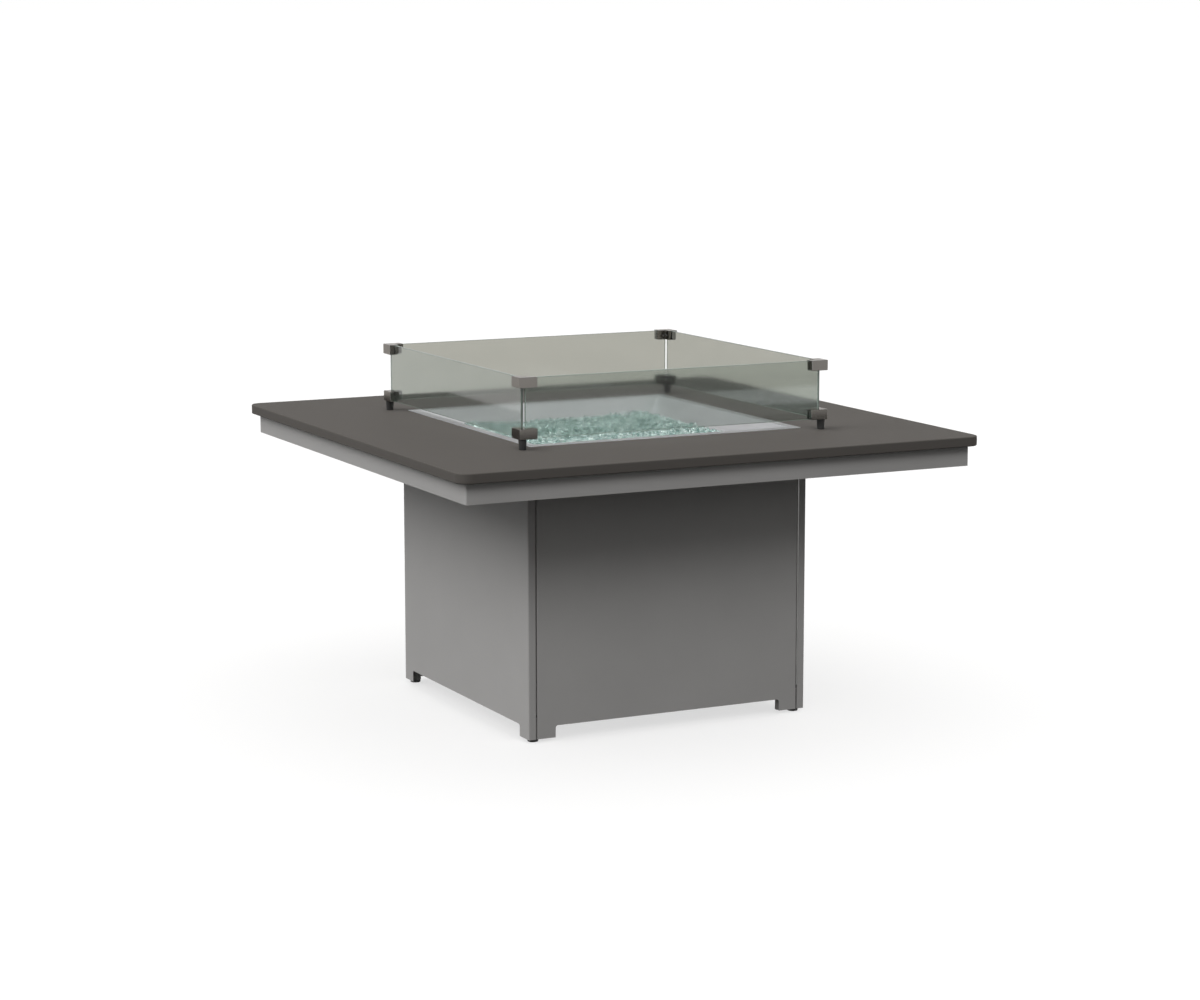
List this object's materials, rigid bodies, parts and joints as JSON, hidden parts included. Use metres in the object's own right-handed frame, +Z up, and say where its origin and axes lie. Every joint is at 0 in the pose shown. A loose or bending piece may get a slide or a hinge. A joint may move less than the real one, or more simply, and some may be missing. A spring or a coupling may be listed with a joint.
{
  "type": "square gas fire table",
  "caption": "Square gas fire table with sheet-metal pedestal, hinged door, drop-in burner pan with crushed glass and a lift-off glass wind guard.",
  "frame": {"origin": "on the floor under the centre of the table", "axes": "+Z up, door faces -Y, +X to the right when looking at the door"},
  "size_m": [1.3716, 1.3716, 0.8814],
  "materials": {
    "top_coat": "powder coated, warm dark grey, fine texture",
    "frame_coat": "powder coated, light warm grey, satin",
    "rail_coat": "powder coated, light grey, matt",
    "stainless": "brushed",
    "clip_metal": "brushed, gunmetal",
    "zinc_steel": "zinc plated",
    "dark_hinge": "dark satin",
    "guard_glass": "clear tempered, faint green-grey tint, polished edges",
    "aqua_glass": "crushed, glossy",
    "black_rubber": "matt",
    "brass": "machined",
    "black_plastic": "moulded, fine texture",
    "white_ceramic": "glazed",
    "tube_aluminium": "satin",
    "magnet_housing": "moulded"
  },
  "bodies": {
    "table_frame": {"table_top": "top_coat", "top_bolts": "zinc_steel", "apron_front": "frame_coat", "apron_right": "frame_coat", "apron_back": "frame_coat", "apron_left": "frame_coat", "support_rail_left": "rail_coat", "support_rail_right": "rail_coat", "cross_rail_front": "rail_coat", "cross_rail_back": "rail_coat", "outrigger_rails": "rail_coat", "side_panel_left": "frame_coat", "side_panel_right": "frame_coat", "back_panel": "frame_coat", "back_panel_screws": "zinc_steel", "header_panel": "frame_coat", "hinge_leaf_fixed": "dark_hinge", "hinge_pin": "dark_hinge", "catch_magnet": "magnet_housing", "foot_brackets": "frame_coat", "foot_inserts": "black_plastic", "tank_shelf": "frame_coat", "tank_collar": "zinc_steel", "burner_pan": "stainless", "burner_ring": "stainless", "burner_stem": "zinc_steel", "stem_locknut": "brass", "heat_shield": "zinc_steel", "shield_standoffs": "zinc_steel", "air_mixer": "brass", "gas_tube": "tube_aluminium", "fire_glass": "aqua_glass", "pilot_hood": "stainless", "igniter_electrode": "white_ceramic", "igniter_lead": "black_rubber", "control_panel": "frame_coat", "gas_valve": "brass", "gas_inlet": "brass", "igniter_housing": "black_plastic"},
    "door": {"front_door": "frame_coat", "door_stile_left": "frame_coat", "door_stile_right": "frame_coat", "hinge_leaf_door": "dark_hinge", "catch_strike": "zinc_steel"},
    "wind_guard": {"glass_front": "guard_glass", "glass_right": "guard_glass", "glass_back": "guard_glass", "glass_left": "guard_glass", "guard_clips_lower": "clip_metal", "guard_clips_upper": "clip_metal", "guard_grub_screws": "dark_hinge", "guard_feet": "black_rubber"},
    "knob": {"control_knob": "black_plastic", "valve_spindle": "brass"},
    "ignition_button": {"igniter_button": "black_plastic"},
    "foot_front_left": {"levelling_foot_front_left": "black_rubber"},
    "foot_front_right": {"levelling_foot_front_right": "black_rubber"},
    "foot_back_left": {"levelling_foot_back_left": "black_rubber"},
    "foot_back_right": {"levelling_foot_back_right": "black_rubber"}
  },
  "joints": [
    {"name": "door_hinge", "type": "hinge", "parent": "table_frame", "child": "door", "pos_m": [0.35675, -0.3782, 0.347], "axis": [0, 0, 1], "range_deg": [0, 110]},
    {"name": "guard_lift", "type": "slide", "parent": "table_frame", "child": "wind_guard", "axis": [0, 0, 1], "range_m": [0, 0.2]},
    {"name": "knob_turn", "type": "hinge", "parent": "table_frame", "child": "knob", "pos_m": [-0.24, -0.348, 0.6], "axis": [0, -1, 0], "range_deg": [0, 240]},
    {"name": "igniter_press", "type": "slide", "parent": "table_frame", "child": "ignition_button", "axis": [0, 1, 0], "range_m": [0, 0.004], "stiffness_N_per_m": 500},
    {"name": "foot_front_left_level", "type": "slide", "parent": "table_frame", "child": "foot_front_left", "axis": [0, 0, -1], "range_m": [0, 0.012]},
    {"name": "foot_front_right_level", "type": "slide", "parent": "table_frame", "child": "foot_front_right", "axis": [0, 0, -1], "range_m": [0, 0.012]},
    {"name": "foot_back_left_level", "type": "slide", "parent": "table_frame", "child": "foot_back_left", "axis": [0, 0, -1], "range_m": [0, 0.012]},
    {"name": "foot_back_right_level", "type": "slide", "parent": "table_frame", "child": "foot_back_right", "axis": [0, 0, -1], "range_m": [0, 0.012]}
  ]
}
